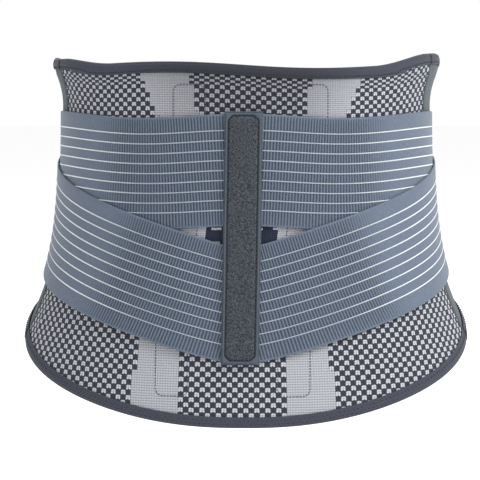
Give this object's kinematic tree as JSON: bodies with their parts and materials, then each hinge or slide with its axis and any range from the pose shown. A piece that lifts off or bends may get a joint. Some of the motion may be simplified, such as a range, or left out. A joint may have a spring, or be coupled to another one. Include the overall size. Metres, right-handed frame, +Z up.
{
  "type": "lumbar support belt",
  "caption": "Knitted back support belt closed round a waist, with crossing elastic straps, stay pockets and a hook-and-loop front.",
  "frame": {"origin": "on the wearer's body axis, at the height of the belt's lowest edge, which is the middle of the back's bottom binding", "axes": "+Z up the wearer's body, -Y towards the wearer's back, +Y the front closure, +X the wearer's right"},
  "size_m": [0.3342, 0.2426, 0.2625],
  "materials": {
    "knitted_panel": "ribbed elastic knit, matt",
    "binding_tape": "folded elastic tape, matt",
    "elastic_webbing": "ribbed elastic webbing with silver lines, slight sheen",
    "velour": "brushed loop velour, matt",
    "front_fabric": "laminated loop fabric, matt",
    "pocket_lining": "plain woven lining, matt",
    "spring_steel_stay": "satin",
    "plastic_stay": "matt",
    "stay_tip": "dipped, matt",
    "hook_tape": "moulded hooks, matt",
    "label_satin": "satin tape, slight sheen"
  },
  "bodies": {
    "back": {"back_bottom_binding": "binding_tape", "back_knit_panel": "knitted_panel", "back_top_binding": "binding_tape", "blank_care_label": "label_satin", "centre_strip_base": "binding_tape", "centre_velour_strip": "velour", "left_back_stay": "spring_steel_stay", "left_lower_strap_back": "elastic_webbing", "left_seam_tape": "binding_tape", "left_stay_bottom_tip": "stay_tip", "left_stay_pocket": "pocket_lining", "left_stay_top_tip": "stay_tip", "left_upper_strap_back": "elastic_webbing", "right_back_stay": "spring_steel_stay", "right_lower_strap_back": "elastic_webbing", "right_seam_tape": "binding_tape", "right_stay_bottom_tip": "stay_tip", "right_stay_pocket": "pocket_lining", "right_stay_top_tip": "stay_tip", "right_upper_strap_back": "elastic_webbing"},
    "left_front": {"left_closure_hook": "hook_tape", "left_front_bottom_binding": "binding_tape", "left_front_end_binding": "binding_tape", "left_front_panel": "front_fabric", "left_front_stay": "plastic_stay", "left_front_stay_pocket": "pocket_lining", "left_front_top_binding": "binding_tape", "left_lower_strap_side": "elastic_webbing", "left_upper_strap_side": "elastic_webbing"},
    "right_front": {"right_closure_loop": "velour", "right_front_bottom_binding": "binding_tape", "right_front_end_binding": "binding_tape", "right_front_panel": "front_fabric", "right_front_stay": "plastic_stay", "right_front_stay_pocket": "pocket_lining", "right_front_top_binding": "binding_tape", "right_lower_strap_side": "elastic_webbing", "right_upper_strap_side": "elastic_webbing"},
    "left_straps": {"left_lower_strap_front": "elastic_webbing", "left_pull_tab": "front_fabric", "left_tab_hook": "hook_tape", "left_upper_strap_front": "elastic_webbing"},
    "right_straps": {"right_lower_strap_front": "elastic_webbing", "right_pull_tab": "front_fabric", "right_tab_hook": "hook_tape", "right_upper_strap_front": "elastic_webbing"}
  },
  "joints": [
    {"name": "left_front_open", "type": "hinge", "parent": "back", "child": "left_front", "pos_m": [-0.15675, -0.0365, 0.156], "axis": [0.1054, -0.0562, 0.9928], "range_deg": [0, 100]},
    {"name": "right_front_open", "type": "hinge", "parent": "back", "child": "right_front", "pos_m": [0.15675, -0.0365, 0.156], "axis": [0.1054, 0.0562, -0.9928], "range_deg": [0, 50]},
    {"name": "left_straps_peel", "type": "hinge", "parent": "left_front", "child": "left_straps", "pos_m": [-0.1415, 0.03725, 0.16], "axis": [0.0725, -0.0172, 0.9972], "range_deg": [0, 65]},
    {"name": "right_straps_peel", "type": "hinge", "parent": "right_front", "child": "right_straps", "pos_m": [0.1415, 0.03725, 0.16], "axis": [0.0725, 0.0172, -0.9972], "range_deg": [0, 65]}
  ],
  "couplings": [
    {"joint": "right_front_open", "follows": "left_front_open", "ratio": 0.5}
  ]
}
